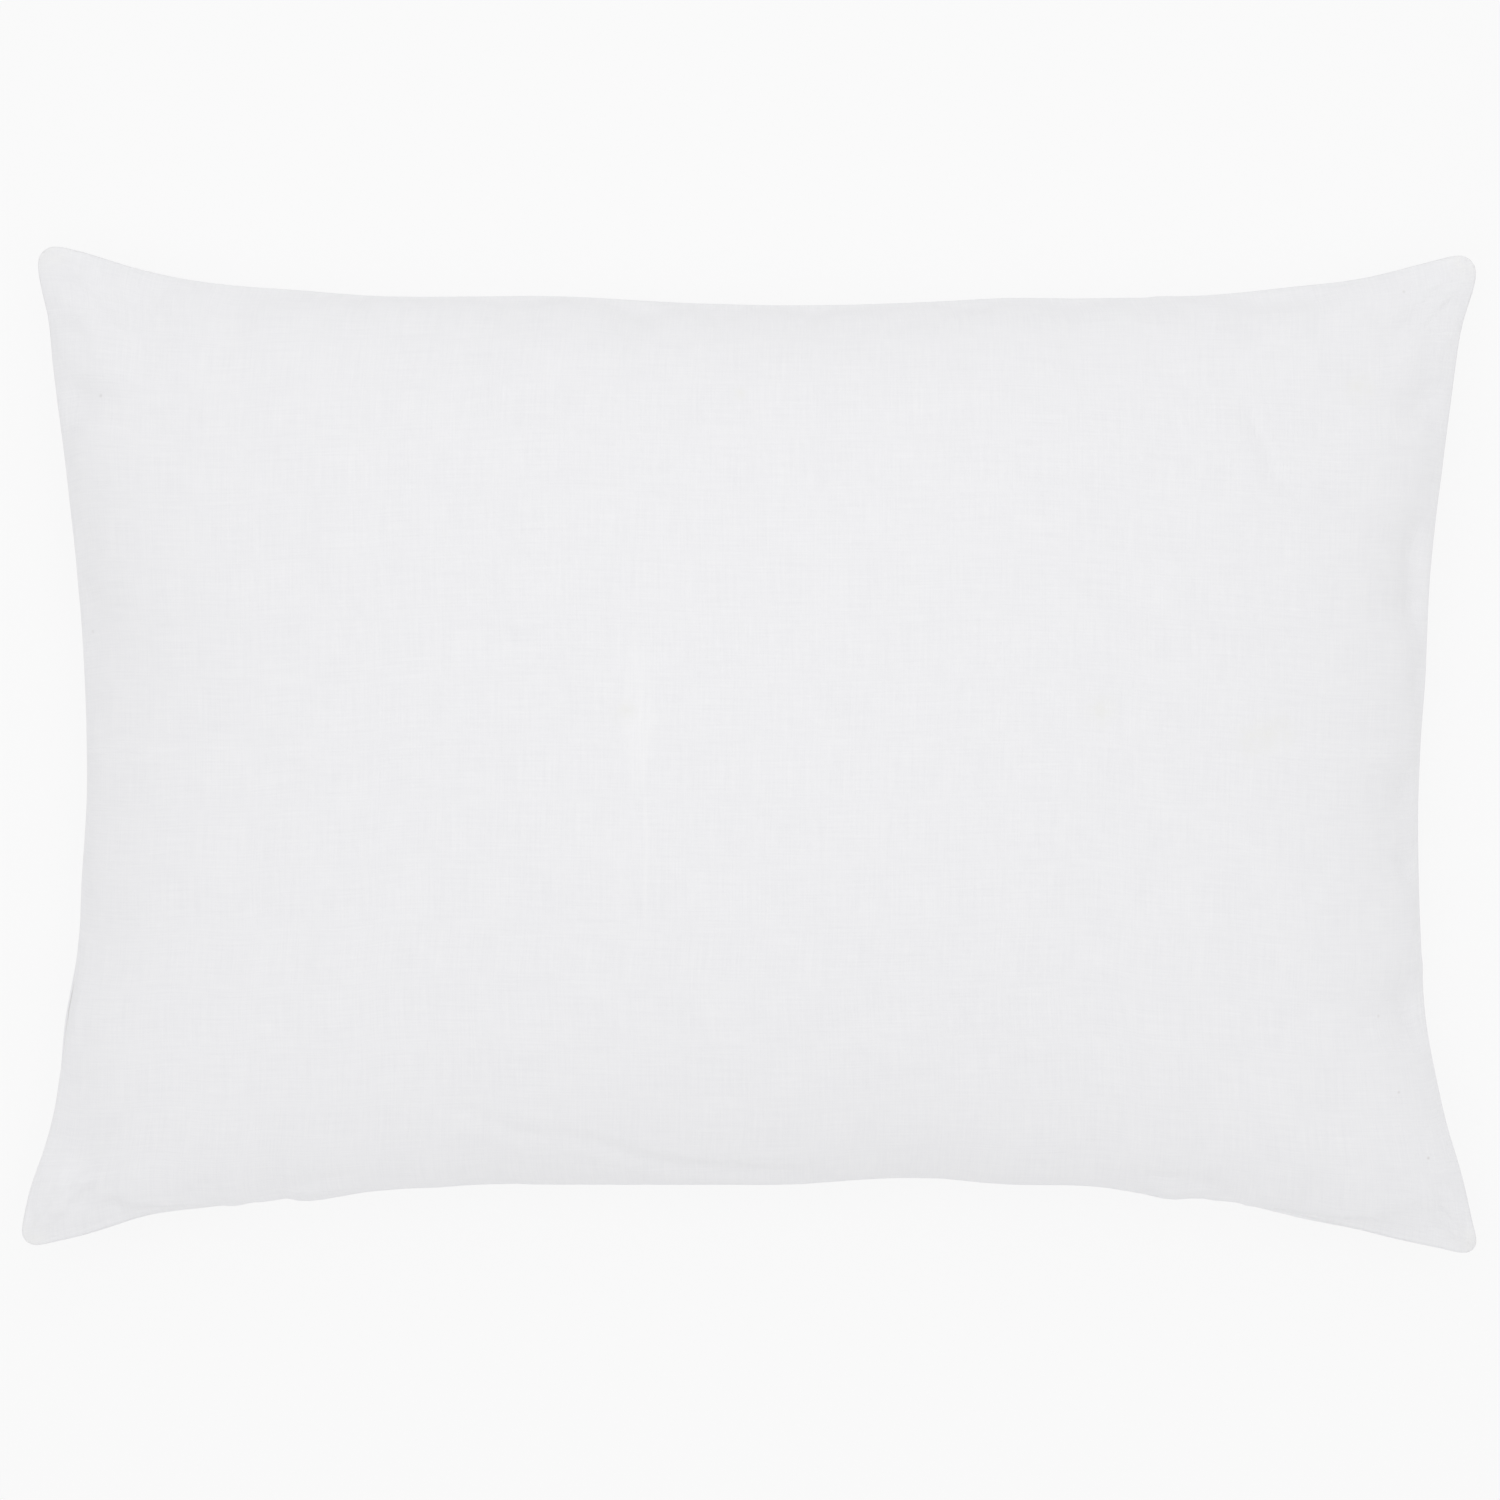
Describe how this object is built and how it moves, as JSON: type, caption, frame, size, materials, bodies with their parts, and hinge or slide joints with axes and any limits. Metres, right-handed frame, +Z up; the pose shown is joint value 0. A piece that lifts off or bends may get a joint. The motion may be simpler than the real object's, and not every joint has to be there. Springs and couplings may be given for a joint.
{
  "type": "bed pillow",
  "caption": "Plain white linen bed pillow: a zip-off cover with pulled-in sides and pointed corners over a filled cotton insert; the zip slider runs and its pull swings.",
  "frame": {"origin": "centre of the underside, on the flat patch that the pillow rests on", "axes": "+X along the pillow's length, +Y away from the zip seam, +Z up from the surface that the pillow lies on, towards the face in view"},
  "size_m": [0.6947, 0.4807, 0.168],
  "materials": {
    "linen": "matte",
    "ticking": "matte",
    "thread": "satin",
    "label": "satin",
    "fill": "matte",
    "zip_tape": "matte",
    "zip_coil": "satin",
    "zip_stop": "satin",
    "zip_metal": "gloss"
  },
  "bodies": {
    "pillow": {"cover_front": "linen", "cover_back": "linen", "cover_seam_thread": "thread", "cover_overlock_thread": "thread", "zip_tape_front": "zip_tape", "zip_tape_back": "zip_tape", "zip_coil_front": "zip_coil", "zip_coil_back": "zip_coil", "zip_top_stops": "zip_stop", "zip_bottom_stop": "zip_stop", "zip_stitching": "thread", "care_label": "label", "ticking_front": "ticking", "ticking_back": "ticking", "ticking_piping": "ticking", "ticking_seam_thread": "thread", "insert_label": "label", "fill": "fill"},
    "slider": {"zip_slider": "zip_metal"},
    "pull": {"zip_pull": "zip_metal"}
  },
  "joints": [
    {"name": "zip_slide", "type": "slide", "parent": "pillow", "child": "slider", "axis": [-1, 0, 0], "range_m": [0, 0.28]},
    {"name": "pull_swing", "type": "hinge", "parent": "slider", "child": "pull", "pos_m": [0.14, -0.20415, 0.077], "axis": [0, 0, 1], "range_deg": [0, 170]}
  ]
}
